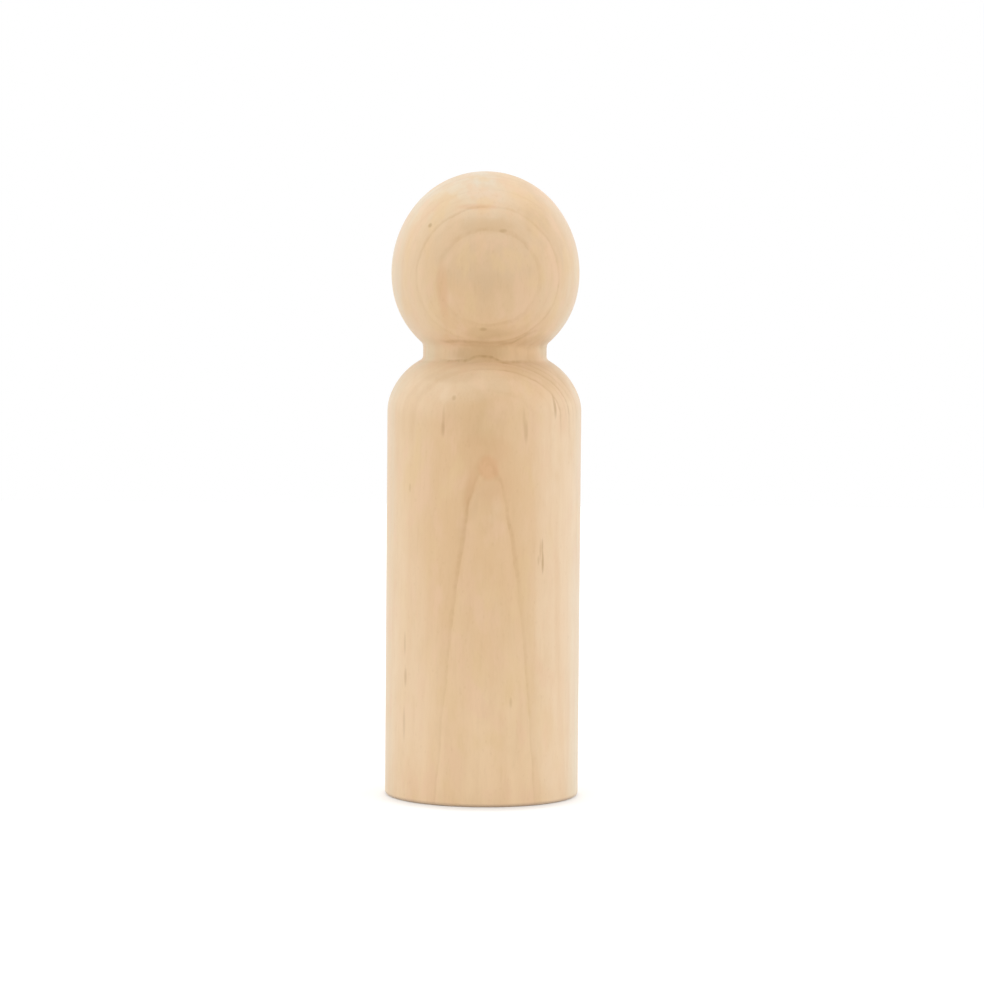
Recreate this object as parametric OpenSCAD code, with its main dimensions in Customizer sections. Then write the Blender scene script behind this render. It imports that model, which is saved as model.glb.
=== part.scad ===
// A plain peg doll, turned in one piece from a straight blank of pale hardwood.
// Heights count up from the flat base, and the axis of the lathe is the Z axis.
// A taller doll keeps its head, neck and shoulders, and only its straight body grows.

/* [Overall] */
// Height from the flat base to the crown
doll_h = 89.6; // [60:0.1:140]
// Width of the straight body
body_d = 27.8; // [25:0.1:34]

/* [Head] */
// Width of the head at its widest level
head_d = 26.9; // [23:0.1:34]
// Height of the crown above the widest level
crown_rise = 14.5; // [12:0.1:18]
// Angle above the widest level at which the crown arc begins
crown_angle = 38; // [30:1:60]
// Angle below the widest level at which the jaw arc begins
jaw_angle = 9; // [2:1:25]
// Radius of the jaw arc, which turns in under the cheek
jaw_r = 12.6; // [11:0.1:15]

/* [Neck] */
// Width of the neck
neck_d = 17.7; // [14:0.1:20]
// Length of the straight neck between its two corner radii
neck_len = 1.2; // [0.4:0.1:8]
// Radius in the corner between chin and neck
chin_corner_r = 1.1; // [0.5:0.1:2]
// Radius in the corner between neck and shoulders
collar_corner_r = 0.8; // [0.4:0.1:2]

/* [Shoulders] */
// Radius of the shoulder's top, next to the neck
shoulder_top_r = 9.6; // [8:0.1:12]
// Radius of the shoulder's side, next to the straight body
shoulder_side_r = 6.7; // [3:0.1:8]
// Angle through which the shoulder's side turns
shoulder_side_angle = 21; // [5:1:30]

/* [Base] */
// Radius of the eased edge round the base
base_edge_r = 0.5; // [0.2:0.1:2]

/* [Hidden] */
$fn = 180;
// Largest angle between two points of an arc
arc_step = 2;

body_r = body_d / 2;
head_r = head_d / 2;
neck_r = neck_d / 2;

// Head: the cheek arc is centred on the widest level, and the crown and jaw arcs run on from its two ends.
// The cheek and crown radii are the pair that gives the head its width and its rise.
crown_cos = cos(crown_angle);
crown_sin = sin(crown_angle);
cheek_r = (crown_rise * crown_cos - head_r * (1 - crown_sin)) / (crown_cos + crown_sin - 1);
crown_r = (head_r * crown_sin - crown_rise * (1 - crown_cos)) / (crown_cos + crown_sin - 1);
cheek_x = head_r - cheek_r;
cheek_z = doll_h - crown_rise;
crown_z = doll_h - crown_r;
jaw_x = cheek_x + (cheek_r - jaw_r) * cos(jaw_angle);
jaw_z = cheek_z - (cheek_r - jaw_r) * sin(jaw_angle);

// Neck: a corner arc under the jaw, a straight stretch and a corner arc over the shoulders
chin_x = neck_r + chin_corner_r;
chin_angle = acos((chin_x - jaw_x) / (jaw_r + chin_corner_r));
chin_z = jaw_z - (jaw_r + chin_corner_r) * sin(chin_angle);
collar_x = neck_r + collar_corner_r;
collar_z = chin_z - neck_len;

// Shoulders: the top arc runs into the side arc, which runs into the straight body
side_x = body_r - shoulder_side_r;
top_x = side_x - (shoulder_top_r - shoulder_side_r) * cos(shoulder_side_angle);
collar_angle = acos((collar_x - top_x) / (shoulder_top_r + collar_corner_r));
top_z = collar_z - (shoulder_top_r + collar_corner_r) * sin(collar_angle);
side_z = top_z + (shoulder_top_r - shoulder_side_r) * sin(shoulder_side_angle);

// Points of an arc round (x, z). The last point is left to the next stretch, which starts there.
function arc(x, z, r, from, to) =
    let (steps = ceil(abs(to - from) / arc_step))
    [for (i = [0:steps - 1]) let (a = from + (to - from) * i / steps) [x + r * cos(a), z + r * sin(a)]];

// Half of the doll's outline, from the middle of the base up to the crown
outline = [
    [0, 0],
    each arc(body_r - base_edge_r, base_edge_r, base_edge_r, -90, 0),
    [body_r, base_edge_r],
    each arc(side_x, side_z, shoulder_side_r, 0, shoulder_side_angle),
    each arc(top_x, top_z, shoulder_top_r, shoulder_side_angle, collar_angle),
    each arc(collar_x, collar_z, collar_corner_r, 180 + collar_angle, 180),
    [neck_r, collar_z],
    each arc(chin_x, chin_z, chin_corner_r, 180, 180 - chin_angle),
    each arc(jaw_x, jaw_z, jaw_r, -chin_angle, -jaw_angle),
    each arc(cheek_x, cheek_z, cheek_r, -jaw_angle, crown_angle),
    each arc(0, crown_z, crown_r, crown_angle, 90),
    [0, doll_h]
];

module peg_doll() {
    color("burlywood") rotate_extrude() polygon(outline);
}

peg_doll();
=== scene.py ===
import bpy, math
from mathutils import Matrix, Vector


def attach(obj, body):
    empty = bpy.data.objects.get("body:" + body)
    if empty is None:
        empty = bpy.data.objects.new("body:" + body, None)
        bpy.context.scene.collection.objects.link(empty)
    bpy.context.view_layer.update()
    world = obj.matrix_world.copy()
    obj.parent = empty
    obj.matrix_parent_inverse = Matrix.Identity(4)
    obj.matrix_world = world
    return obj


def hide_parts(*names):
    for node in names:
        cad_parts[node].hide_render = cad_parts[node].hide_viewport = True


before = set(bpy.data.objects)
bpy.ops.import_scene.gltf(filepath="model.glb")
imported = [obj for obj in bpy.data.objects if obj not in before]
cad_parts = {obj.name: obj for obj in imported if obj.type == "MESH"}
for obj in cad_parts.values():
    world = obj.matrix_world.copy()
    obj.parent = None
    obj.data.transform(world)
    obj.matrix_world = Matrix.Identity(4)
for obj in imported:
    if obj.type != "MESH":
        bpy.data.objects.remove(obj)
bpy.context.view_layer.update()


# THE DOLL
# One straight blank of pale maple, turned on a lathe from crown to base and sanded while it spun.
# Head, neck, shoulders and body are one piece of bare wood, so nothing is glued, pinned or painted.

mm = 0.001
doll_height = 89.6
body_width, head_width, neck_width = 27.8, 26.9, 17.7
crown_rise, crown_turn, jaw_turn, jaw_radius = 14.5, 38, 9, 12.6
neck_length, chin_corner, collar_corner = 1.2, 1.1, 0.8
shoulder_top, shoulder_side, shoulder_turn = 9.6, 6.7, 21
base_edge = 0.5
body_radius = body_width / 2

# The mesh ends in a fan at the base and at the crown, and its quads stop this near to the axis.
fan_radius, fan_turn = 1.2, 89
# Rows of quads in each straight stretch, and the degrees between two rows in each kind of arc
base_rows, body_rows, neck_rows = 9, 22, 3
edge_step, corner_step, cheek_step, wide_step = 9, 5, 1.25, 1.5


def sweep(x, z, radius, start, end, step):
    """Points of an arc, its last point left to the next stretch."""
    count = max(2, math.ceil(abs(end - start) / step))
    turns = [math.radians(start + (end - start) * i / count) for i in range(count)]
    return [(x + radius * math.cos(t), z + radius * math.sin(t)) for t in turns]


def stretch(start, end, count):
    """Points along a straight stretch, its last point left to the next one."""
    (x, z), (u, w) = start, end
    return [(x + (u - x) * i / count, z + (w - z) * i / count) for i in range(count)]


def turned_outline():
    """Half of the doll's outline in millimetres, from base to crown, without its two ends on the axis."""
    body, head, neck = body_radius, head_width / 2, neck_width / 2
    c, s = math.cos(math.radians(crown_turn)), math.sin(math.radians(crown_turn))
    cheek = (crown_rise * c - head * (1 - s)) / (c + s - 1)
    crown = (head * s - crown_rise * (1 - c)) / (c + s - 1)
    cheek_x, cheek_z = head - cheek, doll_height - crown_rise
    jaw_x = cheek_x + (cheek - jaw_radius) * math.cos(math.radians(jaw_turn))
    jaw_z = cheek_z - (cheek - jaw_radius) * math.sin(math.radians(jaw_turn))
    chin_x, collar_x = neck + chin_corner, neck + collar_corner
    chin_turn = math.degrees(math.acos((chin_x - jaw_x) / (jaw_radius + chin_corner)))
    chin_z = jaw_z - (jaw_radius + chin_corner) * math.sin(math.radians(chin_turn))
    collar_z = chin_z - neck_length
    side_x = body - shoulder_side
    top_x = side_x - (shoulder_top - shoulder_side) * math.cos(math.radians(shoulder_turn))
    collar_turn = math.degrees(math.acos((collar_x - top_x) / (shoulder_top + collar_corner)))
    top_z = collar_z - (shoulder_top + collar_corner) * math.sin(math.radians(collar_turn))
    side_z = top_z + (shoulder_top - shoulder_side) * math.sin(math.radians(shoulder_turn))
    return [
        *stretch((fan_radius, 0), (body - base_edge, 0), base_rows),
        *sweep(body - base_edge, base_edge, base_edge, -90, 0, edge_step),
        *stretch((body, base_edge), (body, side_z), body_rows),
        *sweep(side_x, side_z, shoulder_side, 0, shoulder_turn, wide_step),
        *sweep(top_x, top_z, shoulder_top, shoulder_turn, collar_turn, wide_step),
        *sweep(collar_x, collar_z, collar_corner, 180 + collar_turn, 180, corner_step),
        *stretch((neck, collar_z), (neck, chin_z), neck_rows),
        *sweep(chin_x, chin_z, chin_corner, 180, 180 - chin_turn, corner_step),
        *sweep(jaw_x, jaw_z, jaw_radius, -chin_turn, -jaw_turn, wide_step),
        *sweep(cheek_x, cheek_z, cheek, -jaw_turn, crown_turn, cheek_step),
        *sweep(0, doll_height - crown, crown, crown_turn, fan_turn, wide_step),
    ]


def turn_wood(name, outline, base_z, crown_z, around=216):
    """Turns an outline round the Z axis into one closed mesh of quads with a fan at each end."""
    rows = len(outline)
    points = []
    for radius, z in outline:
        for k in range(around):
            turn = 2 * math.pi * k / around
            points.append((radius * math.cos(turn) * mm, radius * math.sin(turn) * mm, z * mm))
    points += [(0, 0, base_z * mm), (0, 0, crown_z * mm)]
    faces = []
    for k in range(around):
        n = (k + 1) % around
        faces.append((len(points) - 2, n, k))
        for row in range(rows - 1):
            a, b = row * around, (row + 1) * around
            faces.append((a + k, a + n, b + n, b + k))
        top = (rows - 1) * around
        faces.append((top + k, top + n, len(points) - 1))
    mesh = bpy.data.meshes.new(name)
    mesh.from_pydata(points, [], faces)
    mesh.update()
    mesh.shade_smooth()
    piece = bpy.data.objects.new(name, mesh)
    bpy.context.scene.collection.objects.link(piece)
    return piece


doll = turn_wood("turned_doll", turned_outline(), 0, doll_height)


class Wire:
    """One output of a shader node. Sums and products of wires add the Math nodes for them."""

    tree = None

    def __init__(self, socket):
        self.socket = socket

    @classmethod
    def node(cls, kind, settings=None, sockets=None, out=0):
        """A new node: its settings, then the values or wires of its sockets.

        Gives one of its outputs, by its number or its name.
        """
        made = cls.tree.nodes.new("ShaderNode" + kind)
        for name, value in (settings or {}).items():
            setattr(made, name, value)
        for name, value in (sockets or {}).items():
            if isinstance(value, Wire):
                cls.tree.links.new(value.socket, made.inputs[name])
            else:
                made.inputs[name].default_value = value
        return cls(made.outputs[out])

    def maths(self, operation, other=0.0, swapped=False):
        pair = (other, self) if swapped else (self, other)
        return Wire.node("Math", {"operation": operation}, dict(enumerate(pair)))

    def __add__(self, other):
        return self.maths("ADD", other)

    __radd__ = __add__

    def __mul__(self, other):
        return self.maths("MULTIPLY", other)

    __rmul__ = __mul__

    def __sub__(self, other):
        return self.maths("SUBTRACT", other)

    def __rsub__(self, other):
        return self.maths("SUBTRACT", other, swapped=True)

    def rise(self, start, end, low=0.0, high=1.0):
        """Goes smoothly from low to high as this value goes from start to end."""
        ends = {"Value": self, "From Min": start, "From Max": end, "To Min": low, "To Max": high}
        return Wire.node("MapRange", {"interpolation_type": "SMOOTHSTEP"}, ends)

    def capped(self, limit=1.0):
        return self.maths("MINIMUM", limit)

    def tint(self, under, over):
        """Colour under where this value is 0, and colour over where it is 1.

        A Mix node's sockets for colours are its inputs 6 and 7 and its output 2.
        """
        return Wire.node("Mix", {"data_type": "RGBA"}, {0: self, 6: under, 7: over}, out=2)


def triple(x, y, z):
    return Wire.node("CombineXYZ", sockets={0: x, 1: y, 2: z})


def clouds(place, detail=2.0, roughness=0.5):
    """Noise between 0 and 1 at a place in the wood."""
    sockets = {"Vector": place, "Scale": 1.0, "Detail": detail, "Roughness": roughness}
    return Wire.node("TexNoise", sockets=sockets)


class Blank:
    """Every place in the blank in millimetres, and how it lies to the heart of the tree.

    The blank was sawn beside that heart, which ran almost upright behind the doll's back. A year's ring lies
    round the heart, and the distance from the heart tells which year the wood at a place grew in.
    """

    heart_x, heart_y = -2.345, 50.18
    lean_x, lean_y = 0.0075, -0.0308
    heart_reach = 60.0

    def __init__(self):
        place = Wire.node("TexCoord", out="Object")
        place = Wire.node("VectorMath", {"operation": "SCALE"}, {0: place, "Scale": 1 / mm})
        x, y, z = (Wire.node("SeparateXYZ", sockets={0: place}, out=axis) for axis in "XYZ")
        self.x, self.y, self.z = x, y, z
        self.girth = (x * x + y * y).maths("SQRT")
        self.turn = Wire.node("Math", {"operation": "ARCTAN2"}, {0: x, 1: y * -1.0}) * body_radius
        self.shoulder, self.upper = z.rise(46, 53), z.rise(63, 67)

        self.aside = x - (z * self.lean_x + self.heart_x)
        self.behind = y - (z * self.lean_y + self.heart_y)
        slow = self.figure(0.13, 0.02, 1.0) - 0.5
        self.quick = self.figure(0.32, 0.20, 3.0) - 0.5
        jagged = self.figure(1.1, 1.1, shift=5.0) - 0.5
        depth = (self.aside * self.aside + self.behind * self.behind).maths("SQRT") + slow * 0.16
        depth = depth + self.quick * (self.shoulder * 0.14 + 0.24)
        self.depth = depth + jagged * self.shoulder * 0.18
        angle = Wire.node("Math", {"operation": "ARCTAN2"}, {0: self.aside, 1: self.behind * -1.0})
        self.round_heart = angle * self.heart_reach

    def figure(self, across, along, detail=2.0, shift=0.0):
        """Noise that lies in the blank, with so many waves in a millimetre across and along the heart."""
        return clouds(triple(self.aside * across + shift, self.behind * across, self.z * along), detail)

    def grain(self, around, along, detail=2.0, roughness=0.5):
        """Noise that follows the rings, with so many waves in a millimetre along a ring and up the trunk."""
        place = triple(self.round_heart * around, self.depth * around, self.z * along)
        return clouds(place, detail, roughness)

    def spots(self, places, edge, start=0.0):
        """Sum of spots with ragged or cloudy edges.

        A spot has its angle from the front, its level, how tall and wide it is, and how plain it shows.
        """
        total = start
        for angle, level, tall, wide, plain in places:
            across = (self.turn - math.radians(angle) * body_radius) * (2 / wide)
            along = (self.z - level) * (2 / tall)
            total = (across * across + along * along + edge).rise(1.6, 0.2, 0.0, plain) + total
        return total


# The rings that show in front, inward from the arch on the body, whose line gets thinner towards its tip.
# Each has its distance from the heart, its line's width, and how plain it is in body, shoulders and head.
arch, arch_line, arch_tip_line = 62.62, 0.18, 0.07
front_rings = (
    (61.3, 0.3, 0.1, 0.2, 0.0), (59.78, 0.34, 0.05, 0.1, 0.75), (58.67, 0.3, 0.05, 1.0, 0.1),
    (57.78, 0.34, 0.05, 0.2, 0.9), (57.22, 0.3, 0.05, 0.9, 0.1), (56.3, 0.3, 0.05, 0.4, 0.1),
    (55.25, 0.4, 0.1, 0.4, 0.30),
)


def year_rings(blank, beads):
    """The dark late wood, its thin line and the pale early wood of every year.

    A year's growth starts pale at its inner edge, darkens slowly outward and ends in a thin dense line.
    """
    x, z, depth, shoulder, upper = blank.x, blank.z, blank.depth, blank.shoulder, blank.upper
    years = depth * 0.62 + clouds(triple(depth * 0.35, 0.0, 0.0)) * 2.2
    year = years - years.maths("FLOOR")
    inside = depth.rise(55.0, 54.4)
    late = year.rise(0.40, 1.0) * inside * 0.6
    line = year.rise(0.88, 0.97) * inside * 0.6
    early = year.rise(0.10, 0.0) * inside * 0.3
    smeared = (shoulder - upper) * x.rise(0, -5)
    arch_ring = (arch, z.rise(36, 46, arch_line, arch_tip_line), 1.0, 0.0, 0.0)
    for radius, width, in_body, in_shoulder, in_head in (arch_ring, *front_rings):
        past = depth - radius
        seen = z.rise(50, 56) * (in_shoulder - in_body) + upper * (in_head - in_shoulder) + in_body
        late = late + past.rise(-0.80, 0.0) * past.rise(smeared * 0.35 + width * 0.3, 0.0) * seen
        line = line + past.rise(width * -1.0, width * -0.25) * past.rise(width * 0.3, 0.0) * seen
        early = early + past.rise(0.0, width) * past.rise(width * 2, width) * seen
    # On the left shoulder the rings run into one another.
    late = late * (1.0 - upper * 0.40) * (smeared * 0.8 + 1.0)
    early = early * (1.0 - smeared)

    # The thin lines are beaded, and worn in places. They are faint low on the body, on the left shoulder, and
    # on the right and the lower left of the head.
    worn = blank.figure(0.25, 0.2, shift=31.0).rise(0.30, 0.60, 0.35, 1.0)
    line = line * (z.rise(14, 40) * 0.62 + 0.38) * worn * beads
    line = line * (1.0 - upper * x.rise(5, 9) * 0.45)
    line = line * (1.0 + (shoulder - upper) * x.rise(5, -4, 0.35, -0.85))
    line = line * (1.0 - upper * z.rise(80, 74) * x.rise(3, -3) * 0.75)
    return late, line, early


def neck_crease_lines(blank, beads):
    """Two dark lines along the creases of the neck, partly where the tool cut across the rings and partly
    painted shade in the creases.
    """
    collar_level, chin_level = 62.90, 65.55
    turn, off_front = blank.turn, blank.turn.maths("ABSOLUTE")
    swell = (turn + 0.2).maths("ABSOLUTE").rise(4.4, 1.0, 0.0, 0.75)
    collar = blank.z - (swell + collar_level) + blank.quick * 0.6
    collar = collar.rise(-0.42, -0.04) * collar.rise(0.26, 0.02) * off_front.rise(13.5, 7.0)
    chin = blank.z - (turn.rise(5, 10) * 1.6 + chin_level) + blank.quick * 0.8
    chin = chin.rise(-0.36, -0.04) * chin.rise(0.40, 0.05)
    chin = chin * off_front.rise(11.5, 7.0) * off_front.rise(1.0, 5.0, 0.25, 0.85)
    return (collar + chin) * beads


# Spots of warmer, darker, greener, paler and redder wood, and its small dark flecks. Some are painted shade
# on the front and round the neck, and two are painted highlights on the body's sides.
amber_and_shade_spots = (
    # Warmer, darker wood, partly painted shade: the wide spots on the front of body and head, and those round
    # the neck.
    (-3, 44, 54, 22, 1.0), (0, 73.5, 17, 19, 1.0), (-2, 66.2, 6.0, 19, 1.0), (46, 80, 15, 10, 0.8),
    (32, 67.0, 7, 17, 0.8), (46, 61.0, 8, 18, 0.8), (-28, 65.4, 3.0, 8, 1.0),
)
grey_and_shade_spots = (
    # Darker, greyer spots on the head; the wide one in front is painted shade.
    (0, 79.5, 12, 26, 1.0), (8, 74.5, 11, 12, 0.5), (60, 81.5, 11, 15, 1.0), (62, 87.0, 3.4, 12, 1.0),
)
tan_and_groove_shade_spots = (
    # Tan spots in the wood; those round the neck, 60 to 67 mm up, are partly painted shade in its groove.
    (-8, 64.4, 3.6, 15, 0.9), (0, 66.8, 2.0, 10, 0.5), (3, 45.8, 4.5, 3.6, 0.35), (4, 53.5, 6, 5, 0.3),
    (60, 59.2, 4, 8, 0.4), (-2, 51.0, 7.5, 6.5, 0.25), (-7, 56.0, 9, 9, 0.4), (8, 57.5, 8, 6, 0.3),
    (46, 61.4, 4.5, 15, 0.6), (52, 65.6, 2.6, 11, 0.6), (-27, 65.4, 1.6, 5, 0.5),
    (26, 66.6, 3.4, 13, 0.4), (3, 73.6, 4.2, 7, 0.25), (-27, 74, 5, 4, 0.3), (-8, 43.5, 7, 2.4, 0.35),
    (-12, 39, 6, 2.2, 0.3), (1, 82.2, 2.4, 9.5, 0.5), (-24, 63.9, 2.4, 7, 0.6), (70, 65.2, 2.2, 7, 0.5),
    (40, 82.9, 5, 6, 0.35), (-24, 60.7, 1.9, 12, 0.5), (-42, 58.9, 3.4, 5, 0.2), (3, 42.0, 10, 5, 0.22),
)
olive_spots = (
    (-64, 64.4, 4.0, 13, 0.7), (-25, 63.6, 4.0, 7, 0.5), (76, 64.4, 3.6, 8, 1.0), (-38, 60.4, 7, 26, 0.6),
)
pale_and_highlight_spots = (
    # The two long spots on the body's sides, at 55 and -50 degrees, are painted highlights; the others are
    # paler wood.
    (55, 26, 60, 13, 1.0), (-50, 18, 46, 9, 0.6), (47, 51.5, 16, 9, 0.55), (-20, 60, 5.5, 22, 0.6),
    (-38, 57.5, 6, 14, 0.5), (7.5, 42.8, 3.0, 1.6, 0.3), (5, 41.0, 1.8, 1.4, 0.25),
)
red_spots = ((-27, 73, 9, 2.2, 0.7), (-7, 84.7, 1.0, 9, 0.7), (6, 45.6, 6, 6, 0.35))
red_cloud = ((1, 50.6, 6, 7, 0.35),)
red_tip = ((3.0, 48.2, 3.6, 3.2, 1.0),)
red_flank = ((-5.5, 45.2, 7, 4.0, 0.5),)
dark_flecks = (
    (-24.3, 54.7, 5.0, 0.6, 0.4), (-24.7, 53.5, 2.6, 0.9, 0.45), (23.8, 55.0, 4.0, 0.6, 0.3),
    (25.2, 53.2, 4.0, 0.8, 0.55), (46.5, 56.6, 3.9, 0.7, 0.9), (37.4, 34.6, 3.6, 0.55, 1.05),
    (37.0, 36.8, 3.0, 0.45, 0.7), (35.6, 36.2, 4.0, 0.4, 0.5), (34.3, 34.9, 1.8, 0.45, 0.5),
    (-52.4, 22.6, 4.0, 0.7, 0.45), (-51.6, 17.9, 3.4, 0.8, 0.7), (-52.7, 11.2, 5.8, 0.8, 0.5),
    (17.1, 14.9, 1.8, 0.6, 0.45), (-48.6, 44.9, 1.6, 0.7, 0.4), (-18.6, 57.9, 0.9, 0.8, 0.6),
    (-1.3, 67.5, 0.65, 1.6, 0.7), (-41.7, 82.0, 0.8, 1.0, 1.0), (11.7, 81.4, 0.7, 1.6, 0.6),
)


def arch_reds(blank, soft_edge):
    """The reddish wood of the arch on the body: on its line at the tip, and just outside it on the left."""
    point = blank.depth - arch
    tip = point.rise(-0.14, -0.02) * point.rise(0.20, 0.04)
    flank = point.rise(-0.30, -0.08) * point.rise(0.06, -0.02)
    return blank.spots(red_tip, soft_edge * 0.6) * tip, blank.spots(red_flank, soft_edge * 0.6) * flank


def maple():
    finish = bpy.data.materials.new("sanded_maple")
    finish.use_nodes = True
    tree = Wire.tree = finish.node_tree
    wood = tree.nodes["Principled BSDF"]
    blank = Blank()
    x, y, z, turn = blank.x, blank.y, blank.z, blank.turn
    beads = blank.figure(1.3, 1.0).rise(0.40, 0.66, 0.70, 1.30)
    late, line, early = year_rings(blank, beads)
    crease_lines_and_shade = neck_crease_lines(blank, beads)

    # Fibres, pores, the short rays that cross the rings, and the faint marks of the sanding on the lathe.
    fibre = blank.grain(1.7, 0.22, 3.0, 0.6)
    fine = blank.grain(5.0, 0.8, 2.0, 0.6)
    bands = blank.grain(0.50, 0.035)
    rays = triple(blank.round_heart * 1.3 + fine, blank.depth * 0.14, z * 0.6)
    rays = Wire.node("TexVoronoi", sockets={"Vector": rays, "Scale": 1.0, "Randomness": 1.0})
    rays = rays.rise(0.22, 0.06)
    sanding = clouds(triple(z * 4.0, blank.girth * 4.0, x * 0.25 + y * 0.15), 2.0)
    facing = Wire.node("SeparateXYZ", sockets={0: Wire.node("TexCoord", out="Normal")}, out="Z")
    cut = facing.maths("ABSOLUTE").rise(0.80, 1.0)

    # Clouds and spots of tone, deeper in the wood than its fibres.
    cloud = blank.figure(0.15, 0.05)
    shade = blank.figure(0.24, 0.12, 3.0, 7.0)
    blush = blank.figure(0.36, 0.18, 3.0, 19.0)
    ochre = blank.figure(0.30, 0.15, 3.0, 43.0)
    soft_edge = (shade + blush) * 1.6 - 1.3
    ragged = fine * 0.5 + fibre * 0.5
    tip, flank = arch_reds(blank, soft_edge)
    amber_and_shade = blank.spots(amber_and_shade_spots, soft_edge)
    grey_and_shade = blank.spots(grey_and_shade_spots, soft_edge)
    tan_and_groove_shade = blank.spots(tan_and_groove_shade_spots, soft_edge) + flank * 0.6
    olive = blank.spots(olive_spots, soft_edge)
    pale_and_highlight = blank.spots(pale_and_highlight_spots, soft_edge)
    red = blank.spots(red_cloud, soft_edge, tip + flank)
    red = blank.spots(red_spots, ragged * 0.7, red)
    flecks = blank.spots(dark_flecks, ragged * 0.9)

    # Painted sheen: paler, whiter colour on the left and right sides, for the white gloss seen there at a
    # slant, but not on the crown or at the edge of the base. Then the end grain under the base, and the dark
    # line round it, which is painted shade.
    sheen_heights = z.rise(88.0, 84.0) * z.rise(0.0, 0.8)
    left_rim_sheen = turn.rise(-12.5, -18.5) * turn.rise(-24.5, -21.0) * sheen_heights
    right_rim_sheen = turn.rise(12.0, 18.0) * turn.rise(24.5, 21.0) * sheen_heights
    lower_right_sheen = turn.rise(13, 18) * turn.rise(24.5, 21.0) * sheen_heights * z.rise(42, 26)
    sawn = cut * z.rise(1.0, 0.0)
    base_rim_shade = z.rise(0.60, 0.20) * blank.girth.rise(13.0, 13.4)

    # The wood's tones, from the widest to the finest. Each lies over the ones before it, as much as its first
    # value says.
    colour = (0.838, 0.598, 0.366, 1)
    for amount, tone in (
        # Painted light: the body is lighter low down, below 34 mm, for the light that the white sheet throws
        # back onto it.
        (z.rise(6, 34), (0.797, 0.552, 0.335)),
        (z.rise(52, 60) * 0.8, (0.755, 0.545, 0.340)),
        # Painted light: whiter colour high on the head's left, for the light from above and its sheen.
        (z.rise(79, 87) * x.rise(5, -1) * 0.9, (0.730, 0.640, 0.500)),
        # Painted sheen: whiter colour on the left and right sides.
        (left_rim_sheen * 0.50, (0.640, 0.580, 0.435)),
        (right_rim_sheen * 0.50, (0.700, 0.620, 0.470)),
        (cloud.rise(0.3, 0.7) * 0.6, (0.775, 0.565, 0.330)),
        (shade.rise(0.45, 0.70) * 0.40, (0.720, 0.500, 0.280)),
        # Warmer, darker wood, partly painted shade on the front and round the neck.
        (amber_and_shade.capped() * 0.9, (0.745, 0.492, 0.264)),
        # Painted shade on the front of the head, and darker, greyer wood.
        (grey_and_shade.capped() * 0.6, (0.675, 0.480, 0.295)),
        (blush.rise(0.48, 0.66) * 0.38, (0.810, 0.530, 0.345)),
        (ochre.rise(0.50, 0.68) * 0.50, (0.770, 0.545, 0.285)),
        (olive.capped() * 0.5, (0.640, 0.540, 0.350)),
        # Paler wood, and painted highlights on the body's sides.
        (pale_and_highlight.capped() * 0.8, (0.835, 0.625, 0.418)),
        # Painted sheen: whiter colour low on the right side.
        (lower_right_sheen * 0.45, (0.790, 0.710, 0.550)),
        (bands.rise(0.42, 0.68) * 0.30, (0.735, 0.485, 0.270)),
        (late.capped() * 0.18, (0.660, 0.425, 0.220)),
        # Tan wood, and painted shade in the neck's groove.
        (tan_and_groove_shade.capped() * 0.60, (0.560, 0.360, 0.165)),
        (early.capped() * 0.16, (0.84, 0.58, 0.38)),
        (fine.rise(0.2, 0.8, 0.085, 0.060), (1.0, 0.79, 0.57)),
        (red.capped() * 0.45, (0.720, 0.375, 0.190)),
        (line.capped(1.6) * 0.14, (0.37, 0.155, 0.015)),
        # Dark lines in the neck's creases: partly rings cut across, partly painted shade.
        (crease_lines_and_shade.capped(1.3) * 0.27, (0.32, 0.160, 0.020)),
        (fibre.rise(0.50, 0.75) * 0.09, (0.60, 0.39, 0.20)),
        (fine.rise(0.50, 0.80) * (cut * 0.20 + 0.05), (0.50, 0.34, 0.19)),
        (rays * 0.10, (0.56, 0.34, 0.16)),
        ((late + line).capped() * sawn * 0.30, (0.50, 0.32, 0.17)),
        (cut * 0.10, (0.55, 0.37, 0.20)),
        # Painted shade: the dark line round the base's eased edge, where it meets the sheet.
        (base_rim_shade * 0.34, (0.29, 0.23, 0.20)),
        (flecks.capped(1.2) * 0.44, (0.30, 0.140, 0.010)),
    ):
        colour = amount.tint(colour, (*tone, 1))
    tree.links.new(colour.socket, wood.inputs["Base Color"])

    rough = fibre.rise(0.3, 0.8, 0.52, 0.62) + cut * 0.08
    tree.links.new(rough.socket, wood.inputs["Roughness"])
    wood.inputs["Specular IOR Level"].default_value = 0.3
    wood.inputs["Sheen Weight"].default_value = 0.3
    wood.inputs["Sheen Roughness"].default_value = 0.5

    relief = fibre * 0.5 + fine * 0.3 + sanding * 0.3 - flecks * 0.6
    bump = Wire.node("Bump", sockets={"Strength": 0.12, "Distance": 0.00008, "Height": relief})
    tree.links.new(bump.socket, wood.inputs["Normal"])
    return finish


doll.data.materials.append(maple())
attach(doll, "root")
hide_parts("peg_doll")


# THE TABLE
# A wide white sheet, level under the doll and as bright as the white behind it.
# It keeps the thin shadow where the wood's eased edge meets it.

sheet_half = 0.5
sheet_glow, least_glow = 0.22, 0.06
# The sheet's glow fades out round a point a little ahead of the doll's middle: a painted shadow, where the
# doll's own shade is plainest.
shade_ahead, shade_radius, glow_radius = 3.5 * mm, 11.0 * mm, 15.7 * mm


def plainly_seen():
    """1 where the camera, the wood's gloss or clear glass looks, and 0 for light on its way to the doll."""
    looks = [Wire.node("LightPath", out=f"Is {kind} Ray") for kind in ("Camera", "Glossy", "Transmission")]
    return looks[0].maths("MAXIMUM", looks[1]).maths("MAXIMUM", looks[2])


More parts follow.
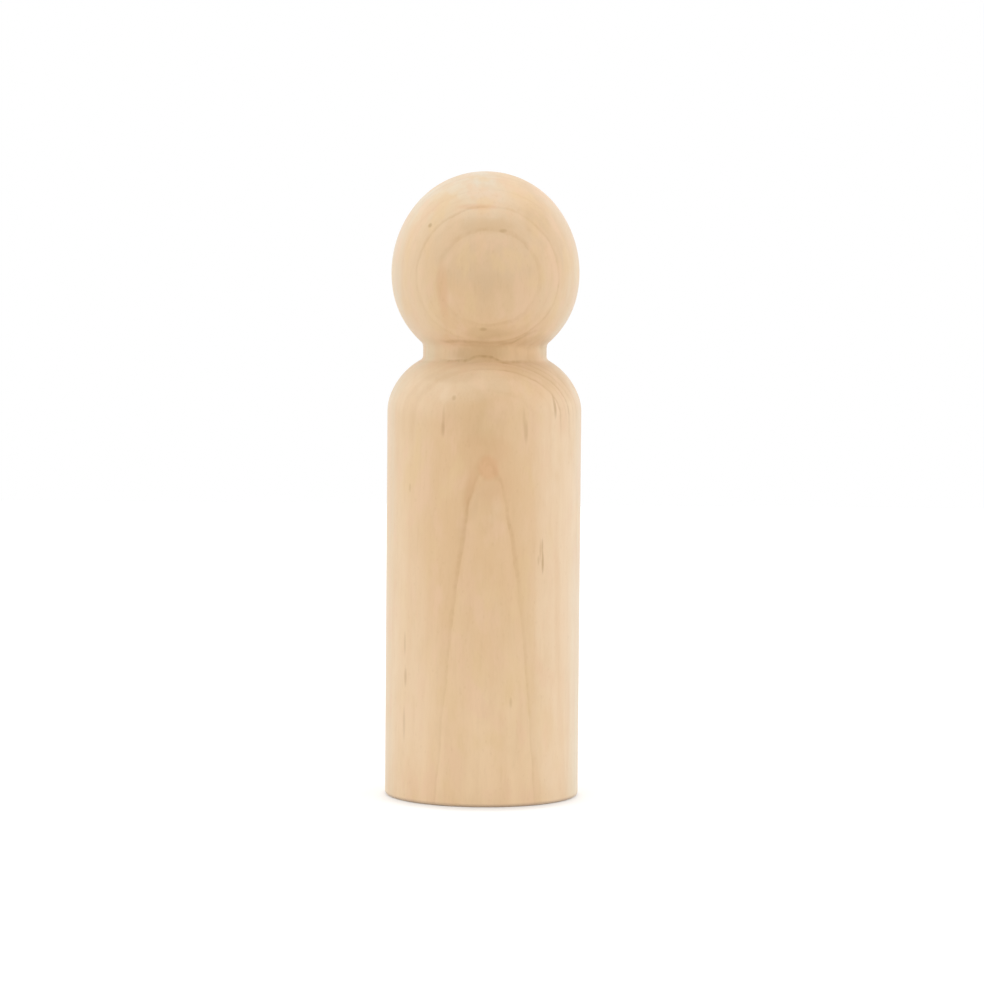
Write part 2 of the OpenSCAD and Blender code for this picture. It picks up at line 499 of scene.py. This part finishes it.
def white_sheet():
    finish = bpy.data.materials.new("white_sheet")
    finish.use_nodes = True
    tree = Wire.tree = finish.node_tree
    tree.nodes.remove(tree.nodes["Principled BSDF"])
    near = Wire.node("TexCoord", out="Object")
    near = Wire.node("VectorMath", {"operation": "ADD"}, {0: near, 1: (0, shade_ahead, 0)})
    near = Wire.node("VectorMath", {"operation": "LENGTH"}, {0: near}, out="Value")
    paper = Wire.node("BsdfDiffuse", sockets={"Color": (0.8, 0.8, 0.8, 1)})
    glow = plainly_seen() * near.rise(shade_radius, glow_radius, 0.0, sheet_glow) + least_glow
    glow = Wire.node("Emission", sockets={"Color": (1, 1, 1, 1), "Strength": glow})
    both = Wire.node("AddShader", sockets={0: paper, 1: glow})
    tree.links.new(both.socket, tree.nodes["Material Output"].inputs["Surface"])
    return finish


sheet = bpy.data.meshes.new("white_sheet")
corners = [(x * sheet_half, y * sheet_half, 0) for x, y in ((-1, -1), (1, -1), (1, 1), (-1, 1))]
sheet.from_pydata(corners, [], [(0, 1, 2, 3)])
sheet.materials.append(white_sheet())
table = bpy.data.objects.new("table", sheet)
bpy.context.scene.collection.objects.link(table)


# THE LIGHT
# Soft white light from all round, as in a small white tent with one panel over the doll and four round it.
# The camera and the wood's gloss see the tent as plain white.

world = bpy.data.worlds.new("white_tent")
bpy.context.scene.world = world
world.use_nodes = True
tree = Wire.tree = world.node_tree
tent_level = 0.8
level = plainly_seen() * (1.0 - tent_level) + tent_level
tent = tree.nodes["Background"]
tent.inputs["Color"].default_value = (1, 1, 1, 1)
tree.links.new(level.socket, tent.inputs["Strength"])


doll_middle = Vector((0, 0, 0.045))


def softbox(name, at, side, power):
    """A square panel of soft light that faces the middle of the doll."""
    panel = bpy.data.lights.new(name, "AREA")
    panel.shape, panel.size, panel.energy = "SQUARE", side, power
    held = bpy.data.objects.new(name, panel)
    bpy.context.scene.collection.objects.link(held)
    held.location = at
    held.rotation_euler = (doll_middle - Vector(at)).to_track_quat("-Z", "Y").to_euler()


softbox("over", (0, 0, 0.9), 0.8, 2.0)
softbox("left", (-0.8, -0.2, 0.35), 0.6, 0.8)
softbox("right", (0.8, -0.2, 0.35), 0.6, 0.85)
softbox("back_left", (-0.6, 0.5, 0.35), 0.6, 0.7)
softbox("back_right", (0.6, 0.5, 0.35), 0.6, 0.7)


# THE CAMERA
# A long lens a little above the doll, tipped down onto it, level with the photo's own view.
# The doll leans a hair to the right in it, so the camera is rolled by that much.

camera_at = Vector((1.19, -650, 95.98)) * mm
tip, roll = math.radians(4.603), math.radians(0.48)

view = bpy.data.cameras.new("camera")
view.sensor_width, view.lens = 36.0, 166.1
view.clip_start, view.clip_end = 0.01, 20.0
camera = bpy.data.objects.new("camera", view)
bpy.context.scene.collection.objects.link(camera)
ahead = Vector((0, math.cos(tip), -math.sin(tip)))
over = Vector((0, math.sin(tip), math.cos(tip)))
aright = Vector((1, 0, 0))
right = aright * math.cos(roll) + over * math.sin(roll)
up = over * math.cos(roll) - aright * math.sin(roll)
turned = Matrix((right, up, -ahead)).transposed().to_4x4()
camera.matrix_world = Matrix.Translation(camera_at) @ turned
bpy.context.scene.camera = camera
bpy.context.scene.view_settings.view_transform = "Standard"
